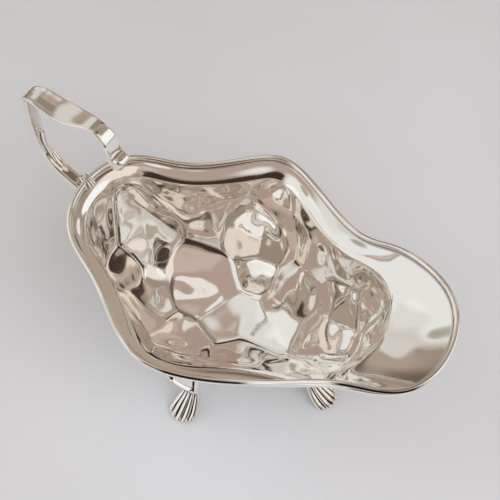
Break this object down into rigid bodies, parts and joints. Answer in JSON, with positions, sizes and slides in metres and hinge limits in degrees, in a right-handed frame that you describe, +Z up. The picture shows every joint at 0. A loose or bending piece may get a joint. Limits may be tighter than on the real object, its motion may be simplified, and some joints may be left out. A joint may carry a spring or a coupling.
{
  "type": "sauce boat",
  "caption": "Deep sauce boat with a wavy flange, a broad raised spout, a flying scroll handle and fluted feet.",
  "frame": {"origin": "on the table under the middle of the bounding box", "axes": "+X towards the spout, +Y to the left side seen from the handle, +Z up"},
  "size_m": [0.1888, 0.1134, 0.1173],
  "materials": {
    "silver_sheet": "mirror polish",
    "silver_wire": "mirror polish",
    "silver_cast": "polished casting, darker in the grooves"
  },
  "bodies": {
    "root": {"body": "silver_sheet", "rim_moulding": "silver_wire", "handle": "silver_cast", "handle_leaf": "silver_cast", "foot_front": "silver_cast", "foot_right": "silver_cast", "foot_left": "silver_cast"}
  },
  "joints": []
}
